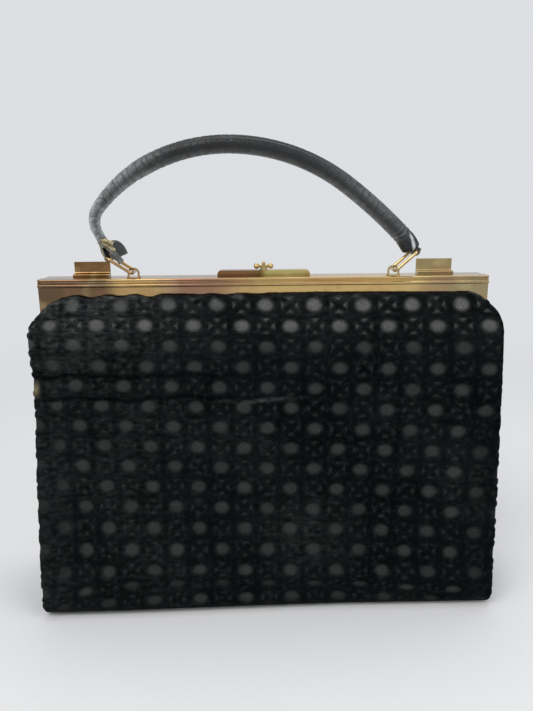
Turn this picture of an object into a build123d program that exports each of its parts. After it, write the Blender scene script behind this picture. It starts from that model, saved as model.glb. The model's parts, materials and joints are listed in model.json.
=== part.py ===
from build123d import *
import math
import os

# Velvet frame handbag, in millimetres.
# X runs to the right, Y to the back and Z up, from the floor under the bag's middle.

# Bag body
body_width = 290.0
body_height = 203.0
base_depth = 72.0
panel_wall = 4.6
panel_bulge = 2.2
panel_corner_radius = 22.0
panel_lower_radius = 5.0
panel_edge_round = 1.8
panel_base_round = 9.0
hem_reach = 10.5
hem_height = 5.5

# Woven pattern of the velvet: flat dots sunk into the pile, on a chequer of cells
dot_columns = 9
dot_rows = 15
dot_width = 9.8
dot_height = 8.3
dot_depth = 0.7
dot_sides = 6
first_row_drop = 6.0
last_row_height = 17.0
pattern_side_margin = 11.8
pattern_offset = 2.0

# Stamped frame of two jaws
frame_inset = 7.0
frame_rise = 10.0
frame_depth = 18.0
frame_sheet = 1.2
frame_edge_round = 0.8
rail_drop = 20.0
leg_width = 9.0
bead_radius = 1.1
bead_drop = 3.9
groove_radius = 0.5
groove_drop = 1.7
hinge_drop = 63.0
ear_radius = 5.0

# Hinge pins
pin_radius = 1.5
pin_head_radius = 3.0
pin_head_height = 1.1
pin_tail_radius = 2.4
pin_tail_height = 0.9

# Clasp: raised plate, turn knob with a hook below, and the keeper that it catches
clasp_length = 58.0
clasp_depth = 6.6
clasp_height = 3.4
clasp_corner_radius = 2.4
spindle_radius = 1.6
knob_length = 12.4
knob_lobe_length = 3.2
knob_waist_radius = 1.0
knob_collar_radius = 2.6
knob_collar_height = 0.6
knob_boss_radius = 2.0
knob_boss_height = 2.7
finial_radius = 0.8
finial_height = 1.9
hook_reach = 8.5
hook_wall = 1.0
hook_half_angle = 18.0
hook_plate = 1.2
hook_depth = 5.6
hook_hub_radius = 3.0
hook_width = 4.6
spindle_end_radius = 2.2
spindle_end_height = 0.8
keeper_width = 4.8
keeper_sheet = 0.9
keeper_drop = 3.9
keeper_reach = 6.0

# Upright tabs near the ends of the rear jaw
tab_width = 22.5
tab_height = 9.0
tab_end_inset = 17.0
tab_sheet = 1.2
tab_foot_height = 1.7
tab_foot_depth = 6.2

# Rivets that hold the clasp plate and the tabs from below
rivet_radius = 0.9
rivet_head_radius = 1.8
rivet_head_height = 0.7
clasp_rivet_spacing = 40.0
tab_rivet_spacing = 14.0
rivet_grip = 1.1

# Handle lugs, rings and handle
lug_end_inset = 58.0
lug_base_length = 8.6
lug_base_width = 5.0
lug_base_height = 0.8
lug_eye_width = 5.0
lug_eye_height = 4.4
lug_wire = 1.2
lug_stem_radius = 1.1
lug_stem_head_radius = 2.0
ring_length = 17.0
ring_width = 13.0
ring_wire_radius = 1.0
ring_corner_radius = 2.4
left_ring_lean = 57.0
right_ring_lean = 48.5
handle_radius = 5.4
handle_rise = 74.6
handle_peak_offset = 21.0
strap_width = 9.0
strap_thickness = 1.6
strap_neck_radius = 2.8

# Points of the handle's middle line, as shares of the lugs' distance from the middle and of the rise
left_shoulder_shares = (-0.875, 0.838)
left_bend_shares = (-1.234, 0.516)
left_end_shares = (-1.241, 0.307)
right_shoulder_shares = (0.625, 0.685)
right_bend_shares = (1.050, 0.287)
right_end_shares = (1.118, 0.196)
bend_radius_share = 0.70

# Gussets, boards, base and lining
base_wall = 3.0
base_edge_inset = 2.0
base_corner_radius = 4.0
gusset_sheet = 1.5
gusset_side_inset = 3.0
gusset_low_fold = 2.0
gusset_fold = 6.0
gusset_shoulder_drop = 17.0
board_sheet = 1.4
board_side_inset = 4.0
board_top_drop = 67.0
board_low_height = 9.0
base_board_inset = 10.0
lining_sheet = 0.8
lining_top_drop = 3.0

# Clearances and the overrun of cuts
parting_gap = 0.4
seat_gap = 0.4
soft_gap = 0.4
ear_gap = 0.3
head_gap = 0.1
pin_clearance = 0.05
strap_clearance = 0.25
eye_gap = 0.6
hook_clearance = 0.5
overrun = 2.0

# Shares and counts that shape the curves
bulge_shape_share = 4.0
half_share = 0.5

# Places worked out from the sizes above
half_width = body_width / 2
base_half = base_depth / 2
frame_half = frame_depth / 2
frame_top = body_height + frame_rise
frame_half_width = half_width - frame_inset
rear_half_width = frame_half_width - frame_sheet - ear_gap
web_low = frame_top - frame_sheet
rail_low = frame_top - rail_drop
hinge_height = frame_top - hinge_drop
panel_inner_top = frame_half + seat_gap
top_half = panel_inner_top + panel_wall
jaw_middle = (frame_half + parting_gap / 2) / 2
flange_inner = frame_half - frame_sheet
hook_middle = (frame_half - frame_sheet + parting_gap / 2) / 2 + parting_gap
lug_half = frame_half_width - lug_end_inset
eye_height = frame_top + lug_base_height + lug_eye_height - ring_wire_radius - eye_gap
tab_centre = rear_half_width - tab_end_inset - tab_width / 2
hole_radius = pin_radius + pin_clearance
gusset_neck = hinge_height - 2 * ear_radius
gusset_neck_outer = rear_half_width - leg_width - soft_gap
sides = {"left": -1, "right": 1}


def wall_distance(height, inset=0):
    """Distance of the velvet's outer face from the middle plane at a height, less an inset."""
    share = height / body_height
    straight = base_half + (top_half - base_half) * share
    return straight + panel_bulge * bulge_shape_share * share * (1 - share) - inset


def wall_arc(low, high, inset):
    """Arc along the front wall between two heights, in a sketch of Y and Z."""
    points = [(-wall_distance(z, inset), z) for z in (low, (low + high) / 2, high)]
    return ThreePointArc(*points)


def box_between(low, high):
    """Box between two opposite corners."""
    size = [b - a for a, b in zip(low, high)]
    return Pos(*low) * Box(*size, align=(Align.MIN, Align.MIN, Align.MIN))


def rod(start, direction, radius, length):
    """Round rod that starts at a point and runs along a direction."""
    plane = Plane(origin=start, z_dir=direction)
    return extrude(plane * Circle(radius), amount=length)


def dome_arc(start, start_radius, height):
    """Arc of a ball from a circle round the axis up to its tip, as (along, across)."""
    ball = (start_radius**2 + height**2) / (2 * height)
    middle = start + height - ball
    turn = math.atan2(start_radius, ball - height) / 2
    crown = (middle + ball * math.cos(turn), ball * math.sin(turn))
    return crown, (start + height, 0)


def mirrored(part, side):
    """The part itself on the right, or its mirror image on the left."""
    return part if side > 0 else mirror(part, about=Plane.YZ)


# Velvet panels
def panel_section():
    """Section of the front panel: bowed wall, rolled lower edge and a bevelled hem."""
    outer = wall_arc(0, body_height, 0)
    inner = wall_arc(hem_height, body_height, panel_wall)
    hem = (-(base_half - hem_reach), 0)
    top = Line(outer @ 1, inner @ 1)
    bevel = Line(inner @ 0, hem)
    foot = Line(hem, outer @ 0)
    section = make_face(Curve() + [outer, top, inner, bevel, foot])
    lower = section.vertices().sort_by_distance(outer @ 0)[0]
    section = fillet(lower, panel_base_round)
    upper = section.vertices().sort_by_distance(outer @ 1)[0]
    return fillet(upper, panel_edge_round)


def panel_outline():
    """Front outline of a panel, with wide upper corners and small lower ones."""
    outline = Pos(0, body_height / 2) * Rectangle(body_width, body_height)
    outline = fillet(outline.vertices().group_by(Axis.Y)[-1], panel_corner_radius)
    return fillet(outline.vertices().group_by(Axis.Y)[0], panel_lower_radius)


def dot_cutter(x, z):
    """Many-sided cutter that sinks one dot square to the wall."""
    reach = dot_height / 2
    run = wall_distance(z - reach) - wall_distance(z + reach)
    normal = (0, -dot_height, run)
    plane = Plane(origin=(x, -wall_distance(z), z), x_dir=(1, 0, 0), z_dir=normal)
    turns = [2 * math.pi * i / dot_sides for i in range(dot_sides)]
    corners = [(dot_width / 2 * math.cos(a), dot_height / 2 * math.sin(a)) for a in turns]
    face = make_face(Polyline(*corners, close=True))
    return extrude(plane.offset(-dot_depth) * face, amount=dot_depth + overrun)


def dot_places():
    """Middles of the dots: every second cell of the chequer that lies whole on the panel."""
    column_pitch = (half_width - pattern_side_margin) / dot_columns
    row_pitch = (body_height - first_row_drop - last_row_height) / (dot_rows - 1)
    corner_reach = half_width - panel_corner_radius
    for row in range(dot_rows):
        z = body_height - first_row_drop - row * row_pitch
        for column in range(-dot_columns, dot_columns + 1):
            x = pattern_offset + column * column_pitch
            in_corner = abs(x) > corner_reach and z > body_height - panel_corner_radius
            if (row + column) % 2 == 0 and not in_corner:
                yield x, z


def make_front_panel():
    slab = extrude(Plane.YZ.offset(-half_width) * panel_section(), amount=body_width)
    prism = extrude(Plane.XZ * panel_outline(), amount=base_depth)
    panel = slab & prism
    return panel - [dot_cutter(x, z) for x, z in dot_places()]


# Frame
def rail_section():
    """Section of a jaw's rail: top web, front flange, and a bead under a groove."""
    back = -parting_gap / 2
    corners = [
        (back, frame_top),
        (-frame_half, frame_top),
        (-frame_half, rail_low),
        (-flange_inner, rail_low),
        (-flange_inner, web_low),
        (back, web_low),
    ]
    section = make_face(Polyline(*corners, close=True))
    edge = section.vertices().sort_by_distance((-frame_half, frame_top))[0]
    section = fillet(edge, frame_edge_round)
    section += Pos(-frame_half, frame_top - bead_drop) * Circle(bead_radius)
    return section - Pos(-frame_half, frame_top - groove_drop) * Circle(groove_radius)


def ear_section():
    """Side plate of a jaw: a straight leg that ends in a round hinge ear."""
    width = frame_half - parting_gap / 2
    low = hinge_height + ear_radius
    leg_height = frame_top - low
    middle = -(frame_half + parting_gap / 2) / 2
    leg = Pos(middle, low + leg_height / 2) * Rectangle(width, leg_height)
    root = Pos(middle, low + ear_radius / 2) * Rectangle(width, ear_radius)
    eye = Pos(0, hinge_height) * Circle(ear_radius)
    plate = leg + make_hull(root.edges() + eye.edges())
    return plate - Pos(0, hinge_height) * Circle(hole_radius)


def make_jaw(jaw_half_width):
    """Front jaw of a given half width: moulded rail, two angle legs and two ears."""
    jaw = extrude(Plane.YZ.offset(-jaw_half_width) * rail_section(), amount=2 * jaw_half_width)
    for side in sides.values():
        inner = jaw_half_width - frame_sheet
        plate = extrude(Plane.YZ.offset(inner) * ear_section(), amount=frame_sheet)
        low = (jaw_half_width - leg_width, -frame_half, hinge_height + ear_radius)
        high = (jaw_half_width, -flange_inner, rail_low + frame_sheet)
        jaw += mirrored(plate + box_between(low, high), side)
    return jaw


def web_hole(x, y, radius):
    """Cutter for a hole through the top web of a jaw."""
    return rod((x, y, web_low - overrun), (0, 0, 1), radius, frame_sheet + 2 * overrun)


def rivet_places():
    """Places of the rivets under the clasp plate and under both tabs."""
    places = [(s * clasp_rivet_spacing / 2, jaw_middle) for s in sides.values()]
    foot_middle = frame_half - tab_foot_depth / 2
    for side in sides.values():
        for step in (-1, 1):
            places.append((side * tab_centre + step * tab_rivet_spacing / 2, foot_middle))
    return places


def make_front_jaw():
    jaw = make_jaw(frame_half_width)
    stems = [web_hole(s * lug_half, -jaw_middle, lug_stem_radius) for s in sides.values()]
    return jaw - stems


def make_rear_jaw():
    jaw = mirror(make_jaw(rear_half_width), about=Plane.XZ)
    holes = [web_hole(x, y, rivet_radius + pin_clearance) for x, y in rivet_places()]
    return jaw - holes - web_hole(0, hook_middle, spindle_radius + pin_clearance)


def make_hinge_pin(side):
    """Rivet through both ears, with a domed head outside and a flat tail inside."""
    tail_end = rear_half_width - frame_sheet - head_gap
    head_start = frame_half_width + head_gap
    profile = Polyline(
        (tail_end - pin_tail_height, 0),
        (tail_end - pin_tail_height, pin_tail_radius),
        (tail_end, pin_tail_radius),
        (tail_end, pin_radius),
        (head_start, pin_radius),
        (head_start, pin_head_radius),
    )
    crown, tip = dome_arc(head_start, pin_head_radius, pin_head_height)
    dome = ThreePointArc(profile @ 1, crown, tip)
    section = make_face(Curve() + [profile, dome, Line(tip, profile @ 0)])
    pin = Pos(0, 0, hinge_height) * revolve(Plane.XZ * section, Axis.X)
    return mirrored(pin, side)


def rivet_seat(x, y):
    """Cutter for the blind hole that a rivet's end sits in, above the web."""
    return rod((x, y, frame_top - overrun), (0, 0, 1), rivet_radius + pin_clearance, rivet_grip + overrun)


# Clasp
def make_clasp_plate():
    """Raised bar on the rear jaw with rounded upper ends, bored for the spindle."""
    face = Pos(0, clasp_height / 2) * Rectangle(clasp_length, clasp_height)
    face = fillet(face.vertices().group_by(Axis.Y)[-1], clasp_corner_radius)
    front = parting_gap + frame_sheet
    standing = Plane((0, front, frame_top), x_dir=(1, 0, 0), z_dir=(0, -1, 0))
    plate = extrude(standing * face, amount=-clasp_depth)
    low = frame_top - overrun
    bore_radius = spindle_radius + pin_clearance
    plate -= rod((0, hook_middle, low), (0, 0, 1), bore_radius, clasp_height + 2 * overrun)
    for side in sides.values():
        plate -= rivet_seat(side * clasp_rivet_spacing / 2, jaw_middle)
    return plate


def make_clasp_knob():
    """Turned knob with two lobes and a finial, in one piece with its spindle."""
    seat = frame_top + clasp_height + head_gap
    collar_top = seat + knob_collar_height
    boss_top = collar_top + knob_boss_height
    hook_low = web_low - hook_depth
    end_top = hook_low - head_gap
    end_low = end_top - spindle_end_height
    stem = Polyline(
        (0, end_low),
        (spindle_end_radius, end_low),
        (spindle_end_radius, end_top),
        (spindle_radius, end_top),
        (spindle_radius, seat),
        (knob_collar_radius, seat),
        (knob_collar_radius, collar_top),
        (knob_boss_radius, collar_top),
        (knob_boss_radius, boss_top - knob_boss_height * half_share),
        (finial_radius, boss_top),
    )
    bulb, tip = dome_arc(boss_top, finial_radius, finial_height)
    finial = ThreePointArc(stem @ 1, bulb[::-1], tip[::-1])
    section = make_face(Curve() + [stem, finial, Line(tip[::-1], stem @ 0)])
    knob = revolve(Plane.XZ * section, Axis.Z)
    neck_end = knob_length / 2 - knob_lobe_length
    neck = Polyline((0, 0), (0, knob_waist_radius), (neck_end, knob_waist_radius))
    crown, lobe_tip = dome_arc(neck_end, knob_waist_radius, knob_lobe_length)
    lobe_ball = ThreePointArc(neck @ 1, crown, lobe_tip)
    lobe_face = make_face(Curve() + [neck, lobe_ball, Line(lobe_tip, neck @ 0)])
    lobe = revolve(Plane.XZ * lobe_face, Axis.X)
    for side in sides.values():
        knob += Pos(0, 0, collar_top + knob_lobe_length / 2) * mirrored(lobe, side)
    return Pos(0, hook_middle, 0) * knob


def make_clasp_hook():
    """Flat arm on the spindle's foot, with an upright curved wall at its end."""
    low = web_low - hook_depth
    arm = Circle(hook_hub_radius) + Pos(hook_reach / 2, 0) * Rectangle(hook_reach, hook_width)
    arm = arm & Circle(hook_reach)
    hook = extrude(Pos(0, 0, low) * arm, amount=hook_plate)
    inner = hook_reach - hook_wall
    wedge_reach = hook_reach + overrun
    half_opening = wedge_reach * math.tan(math.radians(hook_half_angle))
    wedge_corners = [(0, 0), (wedge_reach, -half_opening), (wedge_reach, half_opening)]
    wedge = make_face(Polyline(*wedge_corners, close=True))
    rim = (Circle(hook_reach) - Circle(inner)) & wedge
    rise = hook_depth - keeper_sheet - hook_clearance
    hook += extrude(Pos(0, 0, low) * rim, amount=rise)
    bore_radius = spindle_radius + pin_clearance
    hook -= rod((0, 0, low - overrun), (0, 0, 1), bore_radius, hook_plate + 2 * overrun)
    return Pos(0, hook_middle, 0) * hook


def make_clasp_keeper():
    """Bent tongue under the front jaw's web that the hook closes in front of."""
    lip_back = -parting_gap / 2 - frame_sheet / 2
    half = keeper_width / 2
    corner = (half, lip_back, web_low)
    plate = box_between((-half, lip_back - keeper_reach, web_low - keeper_sheet), corner)
    return plate + box_between((-half, lip_back - keeper_sheet, web_low - keeper_drop), corner)


# Tabs and rivets
def make_tab(side):
    """Upright plate on a foot, bent from one strip."""
    back = frame_half
    front = back - tab_foot_depth
    top = frame_top + tab_height
    foot_top = frame_top + tab_foot_height
    plate_front = back - tab_sheet
    corners = [
        (back, frame_top),
        (back, top),
        (plate_front, top),
        (plate_front, foot_top),
        (front, foot_top),
        (front, frame_top),
    ]
    section = make_face(Polyline(*corners, close=True))
    bend = section.vertices().sort_by_distance((plate_front, foot_top))[0]
    section = fillet(bend, tab_sheet)
    nose = section.vertices().sort_by_distance((front, foot_top))[0]
    section = fillet(nose, tab_sheet / 2)
    start = side * tab_centre - tab_width / 2
    tab = extrude(Plane.YZ.offset(start) * section, amount=tab_width)
    foot_middle = frame_half - tab_foot_depth / 2
    for step in (-1, 1):
        tab -= rivet_seat(side * tab_centre + step * tab_rivet_spacing / 2, foot_middle)
    return tab


def make_rivets():
    """All rivets of the rear jaw: flat heads under the web, shanks up into what they hold."""
    rivets = []
    for x, y in rivet_places():
        head = rod((x, y, web_low), (0, 0, -1), rivet_head_radius, rivet_head_height)
        shank = rod((x, y, web_low), (0, 0, 1), rivet_radius, frame_sheet + rivet_grip)
        rivets.append(head + shank)
    return Compound(children=rivets)


# Handle
def make_handle_lug(side):
    """Cast eye on an oval base, with a riveted stem through the front jaw's web."""
    oval = Pos(0, 0, frame_top) * SlotOverall(lug_base_length, lug_base_width)
    base = extrude(oval, amount=lug_base_height)
    outer_width = lug_eye_width + 2 * lug_wire
    outer_height = lug_base_height + lug_eye_height + lug_wire
    outer = Pos(0, outer_height / 2) * Rectangle(outer_width, outer_height)
    outer = fillet(outer.vertices().group_by(Axis.Y)[-1], lug_eye_height / 2 + lug_wire)
    inner = Pos(0, lug_base_height + lug_eye_height / 2) * Rectangle(lug_eye_width, lug_eye_height)
    inner = fillet(inner.vertices().group_by(Axis.Y)[-1], lug_eye_height / 2)
    arch = extrude(Plane.XZ * (outer - inner), amount=lug_wire / 2, both=True)
    stem = rod((0, 0, frame_top), (0, 0, -1), lug_stem_radius, frame_sheet)
    head = rod((0, 0, web_low), (0, 0, -1), lug_stem_head_radius, rivet_head_height)
    lug = base + Pos(0, 0, frame_top) * arch + stem + head
    return Pos(side * lug_half, -jaw_middle, 0) * lug


def ring_rise(side):
    """Direction from a ring's lower bar to its upper bar."""
    lean = math.radians(left_ring_lean if side < 0 else right_ring_lean)
    return Vector(side * math.sin(lean), 0, math.cos(lean))


def ring_top(side):
    """Middle of a ring's upper bar, in X and Z."""
    rise = ring_rise(side) * ring_length
    return side * lug_half + rise.X, eye_height + rise.Z


def make_ring(side):
    """Oblong wire ring that hangs in the lug's eye and leans outwards."""
    up = ring_rise(side)
    middle = Vector(side * lug_half, -jaw_middle, eye_height) + up * (ring_length / 2)
    plane = Plane(origin=middle, x_dir=(0, 1, 0), z_dir=Vector(0, 1, 0).cross(up))
    path = plane * RectangleRounded(ring_width, ring_length, ring_corner_radius).wire()
    start = path @ 0
    return sweep(Plane(origin=start, z_dir=path % 0) * Circle(ring_wire_radius), path=path)


def handle_point(shares):
    """Point of the handle's middle line from its shares, in X and Z."""
    return shares[0] * lug_half, eye_height + shares[1] * handle_rise


def handle_arcs():
    """Tangent arcs of the handle's middle line, from the right end over the peak to the left end."""
    peak = (-handle_peak_offset, eye_height + handle_rise)
    arcs = []
    for heading, places in (
        ((1, 0), (right_shoulder_shares, right_bend_shares, right_end_shares)),
        ((-1, 0), (left_shoulder_shares, left_bend_shares, left_end_shares)),
    ):
        start = peak
        run = []
        for shares in places:
            arc = TangentArc(start, handle_point(shares), tangent=heading)
            start = arc @ 1
            heading = arc % 1
            run.append(arc)
        arcs.append(run)
    return arcs


def handle_strap(side, end_point):
    """Flat strap end that folds round the ring's upper bar and runs into the handle."""
    fold = Pos(*ring_top(side)) * Circle(ring_wire_radius + strap_clearance + strap_thickness)
    root = Pos(*end_point) * Circle(strap_neck_radius)
    face = make_hull(fold.edges() + root.edges())
    return extrude(Plane.XZ * face, amount=strap_width / 2, both=True)


def make_handle():
    """Stuffed leather handle that thins to its left end, with a strap fold at each end."""
    right, left = handle_arcs()
    bend_radius = handle_radius * bend_radius_share
    runs = [
        (right[0], handle_radius, handle_radius),
        (right[1], handle_radius, handle_radius),
        (right[2], handle_radius, handle_radius),
        (left[0], handle_radius, handle_radius),
        (left[1], handle_radius, bend_radius),
        (left[2], bend_radius, strap_neck_radius),
    ]
    tube = []
    for arc, start_radius, end_radius in runs:
        path = Plane.XZ * Wire(arc)
        start = Plane(origin=path @ 0, z_dir=path % 0) * Circle(start_radius)
        end = Plane(origin=path @ 1, z_dir=path % 1) * Circle(end_radius)
        tapers = end_radius < start_radius
        tube.append(sweep([start, end] if tapers else start, path=path, multisection=tapers))
    handle = tube[0] + tube[1:]
    handle += handle_strap(1, right[2] @ 1)
    handle += handle_strap(-1, left[2] @ 1)
    for side in sides.values():
        x, z = ring_top(side)
        hole = ring_wire_radius + strap_clearance
        handle -= rod((x, -ring_width, z), (0, 1, 0), hole, 2 * ring_width)
    return Pos(0, -jaw_middle, 0) * handle


# Sides, boards, base and lining
def gusset_section(height, outer, reach, fold):
    """Folded strip of a side gusset at one height, on the right."""
    corners = [
        (outer, -reach),
        (outer, -reach + gusset_sheet),
        (outer - fold + gusset_sheet, 0),
        (outer, reach - gusset_sheet),
        (outer, reach),
        (outer - gusset_sheet, reach),
        (outer - fold, 0),
        (outer - gusset_sheet, -reach),
    ]
    return Pos(0, 0, height) * make_face(Polyline(*corners, close=True))


def make_gusset(side):
    """Side gusset with an inward fold, wide at the base and drawn in between the jaws."""
    shoulder = body_height - gusset_shoulder_drop
    top = web_low - hook_depth - spindle_end_height - soft_gap
    jaw_reach = flange_inner - soft_gap
    wall_inset = panel_wall + soft_gap
    low_outer = half_width - gusset_side_inset
    low_reach = wall_distance(hem_height, wall_inset)
    neck_reach = wall_distance(gusset_neck, wall_inset)
    fold = gusset_fold + gusset_sheet
    sections = [
        gusset_section(hem_height, low_outer, low_reach, gusset_low_fold + gusset_sheet),
        gusset_section(gusset_neck, gusset_neck_outer, neck_reach, fold),
        gusset_section(shoulder, gusset_neck_outer, jaw_reach, fold),
        gusset_section(top, gusset_neck_outer, jaw_reach, fold),
    ]
    return mirrored(loft(sections, ruled=True), side)


def make_front_board():
    """Stiff board behind the velvet, from the base up to below the hinge."""
    near = panel_wall + soft_gap
    far = near + board_sheet
    top = body_height - board_top_drop
    front = wall_arc(board_low_height, top, near)
    back = wall_arc(board_low_height, top, far)
    top_edge = Line(front @ 1, back @ 1)
    low_edge = Line(back @ 0, front @ 0)
    section = make_face(Curve() + [front, top_edge, back, low_edge])
    length = 2 * (gusset_neck_outer - gusset_sheet - board_side_inset)
    return extrude(Plane.YZ.offset(-length / 2) * section, amount=length)


def make_base_panel():
    """Velvet base between the hems of the two panels."""
    width = body_width - 2 * base_edge_inset
    depth = 2 * (base_half - hem_reach - soft_gap)
    return extrude(RectangleRounded(width, depth, base_corner_radius), amount=base_wall)


def make_base_board():
    """Stiff board that lies on the velvet base."""
    width = body_width - 2 * (base_board_inset + gusset_side_inset)
    depth = 2 * (base_half - hem_reach - soft_gap) - base_board_inset
    outline = Pos(0, 0, base_wall) * RectangleRounded(width, depth, base_corner_radius)
    return extrude(outline, amount=board_sheet)


def lining_block(inset, low, top):
    """Wedge that the lining fills, drawn in by an inset all round."""
    shoulder = rail_low - soft_gap
    wall_inset = panel_wall + board_sheet + 2 * soft_gap + inset
    low_fold = gusset_low_fold + gusset_sheet + soft_gap + inset
    neck_fold = gusset_fold + gusset_sheet + soft_gap + inset
    low_length = half_width - gusset_side_inset - low_fold - base_board_inset / 2
    neck_length = gusset_neck_outer - neck_fold
    top_reach = flange_inner - soft_gap - inset
    low_reach = wall_distance(board_low_height, wall_inset)
    neck_share = (shoulder - gusset_neck) / (shoulder - low)
    neck_reach = top_reach + (low_reach - top_reach) * neck_share
    sections = [
        Pos(0, 0, low) * Rectangle(2 * low_length, 2 * low_reach),
        Pos(0, 0, gusset_neck) * Rectangle(2 * neck_length, 2 * neck_reach),
        Pos(0, 0, shoulder) * Rectangle(2 * neck_length, 2 * top_reach),
        Pos(0, 0, top) * Rectangle(2 * neck_length, 2 * top_reach),
    ]
    return loft(sections, ruled=True)


def make_lining():
    """Sewn lining, open at the top, that hangs inside the boards and gussets."""
    low = base_wall + board_sheet + soft_gap
    top = body_height - lining_top_drop
    cavity = lining_block(lining_sheet, low + lining_sheet, top)
    mouth = extrude(cavity.faces().sort_by(Axis.Z)[-1], amount=overrun)
    return lining_block(0, low, top) - cavity - mouth


# Build every piece and write it under its node's name
front_panel = make_front_panel()
front_board = make_front_board()
nodes = {
    "front_panel": front_panel,
    "rear_panel": mirror(front_panel, about=Plane.XZ),
    "base_panel": make_base_panel(),
    "front_board": front_board,
    "rear_board": mirror(front_board, about=Plane.XZ),
    "base_board": make_base_board(),
    "lining": make_lining(),
    "front_jaw": make_front_jaw(),
    "rear_jaw": make_rear_jaw(),
    "clasp_plate": make_clasp_plate(),
    "clasp_knob": make_clasp_knob(),
    "clasp_hook": make_clasp_hook(),
    "clasp_keeper": make_clasp_keeper(),
    "frame_rivets": make_rivets(),
    "handle": make_handle(),
}
for name, side in sides.items():
    nodes[name + "_gusset"] = make_gusset(side)
    nodes[name + "_hinge_pin"] = make_hinge_pin(side)
    nodes[name + "_tab"] = make_tab(side)
    nodes[name + "_handle_lug"] = make_handle_lug(side)
    nodes[name + "_ring"] = make_ring(side)

os.makedirs("parts", exist_ok=True)
for name, shape in nodes.items():
    export_step(shape, "parts/" + name + ".step")
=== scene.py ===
import json
import math
from types import SimpleNamespace

import bmesh
import bpy
import numpy as np
from mathutils import Matrix, Vector, noise


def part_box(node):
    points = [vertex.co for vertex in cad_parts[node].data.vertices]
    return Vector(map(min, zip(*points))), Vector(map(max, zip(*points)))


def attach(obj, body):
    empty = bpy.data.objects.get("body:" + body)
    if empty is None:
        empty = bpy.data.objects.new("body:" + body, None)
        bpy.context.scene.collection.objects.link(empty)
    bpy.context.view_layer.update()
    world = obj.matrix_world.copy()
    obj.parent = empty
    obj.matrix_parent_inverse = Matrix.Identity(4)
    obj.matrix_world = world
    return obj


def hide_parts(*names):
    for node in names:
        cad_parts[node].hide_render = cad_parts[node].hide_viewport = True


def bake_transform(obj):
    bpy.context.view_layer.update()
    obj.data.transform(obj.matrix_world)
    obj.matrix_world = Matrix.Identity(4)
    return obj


# Velvet frame handbag, dressed in metres in the frame of its solids.

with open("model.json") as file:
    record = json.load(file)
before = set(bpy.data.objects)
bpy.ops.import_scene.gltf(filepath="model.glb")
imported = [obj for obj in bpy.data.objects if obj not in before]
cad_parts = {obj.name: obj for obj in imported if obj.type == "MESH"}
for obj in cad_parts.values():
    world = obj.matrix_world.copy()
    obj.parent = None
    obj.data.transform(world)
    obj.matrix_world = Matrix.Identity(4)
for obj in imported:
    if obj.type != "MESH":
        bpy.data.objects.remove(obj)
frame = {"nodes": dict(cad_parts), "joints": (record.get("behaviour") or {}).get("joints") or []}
nodes = frame["nodes"]
joints = {j["name"]: j for j in frame["joints"]}
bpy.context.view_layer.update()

# Sizes read from the frame
panel_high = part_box("front_panel")[1]
base_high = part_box("base_panel")[1]
half_width = panel_high.x
body_height = panel_high.z
swing_pivot = joints["handle_swing"]["pos_m"]

# Velvet panel: wall, rolled edges, pile and grid
base_half = 0.036
top_half = 0.014
wall_bulge = 0.0022
base_roll = 0.009
hem_end = 0.0255
hem_steps = 8
roll_steps = 40
wall_steps = 300
corner_radius = 0.022
edge_roll = 0.0024
edge_tail = 0.0018
back_gap = 0.0002
pile_height = 0.00075
panel_columns = 300
panel_rows = 228
back_step = 4

# Velvet base
base_corner = 0.004
base_rounding = 0.0012
base_gap = 0.0002
base_corner_steps = 6

# Woven pattern: a chequer of dots and crosses
column_pitch = 0.0148
row_pitch = 0.012857
first_row_drop = 0.006
pattern_offset = 0.002
dot_width = 0.0108
dot_height = 0.0088
cross_width = 0.0114
cross_height = 0.0104
cross_stroke = 0.0027
cross_tone = 0.66
lattice_span = (0.66, 0.98)
level_share = 0.55
pattern_softness = 0.0006
# Depth, spreads and gain of the ground's darkening towards each figure's edge: partly pile leaning over it,
# partly painted shade of the pile around the sunk figure.
edge_shade_depth = 0.0026
dot_spread = 0.22
cross_spread = 0.06
cross_gain = 1.7

# Drift of the front pattern, in metres for powers of the shares across and up
drift_across = {
    (0, 0): 0.0002, (1, 0): -0.0019, (2, 0): -0.0018, (0, 1): 0.0102, (1, 1): 0.0451,
    (0, 2): -0.0261, (1, 2): -0.1035, (0, 3): 0.0173, (1, 3): 0.0610,
}
drift_up = {
    (0, 0): 0.0046, (1, 0): 0.0020, (2, 0): 0.0022, (0, 1): -0.0321, (1, 1): 0.0130, (2, 1): -0.0032,
    (0, 2): 0.0496, (1, 2): -0.0178, (0, 3): -0.0221, (1, 3): 0.0040,
}

# Buckle along the front's lower edge: places across, heights, half widths and the length tucked away
buckle_places = (-0.130, -0.082, -0.052, 0.004, 0.061, 0.090, 0.119)
buckle_heights = (0.0100, 0.0220, 0.0230, 0.0188, 0.0165, 0.0120, 0.0095)
buckle_halves = (0.0110, 0.0180, 0.0130, 0.0088, 0.0080, 0.0080, 0.0075)
buckle_tuck = 0.0095
buckle_depth = 0.0012
buckle_start = (-0.140, -0.110)
buckle_stop = (0.100, 0.135)

# Unevenness of the cloth: sizes of its noise, then its part in the relief, the tone and the pattern's edges
broad_size = 0.055
lump_size = 0.013
fuzz_size = 0.0028
wave_size = 0.0085
noise_plane = 0.1
broad_height = 0.0005
lump_height = 0.00018
fuzz_share = 0.35
broad_tone = 0.2
edge_jitter = 0.0003

# Creases where the front velvet folds at the hinges, and the puffed cloth between them
crease_heights = (0.1545, 0.1405)
crease_ends = (0.016, 0.026)
crease_fade = 0.06
crease_depth = 0.0019
crease_width = 0.0012
crease_waves = ((0.0009, 95, 0.0), (0.0005, 260, 1.0))
crease_puff_span = (-0.12, 0.0)
crease_puff_width = 0.0045
# Half length of the painted highlight below the lower crease.
crease_highlight_width = 0.020

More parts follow.
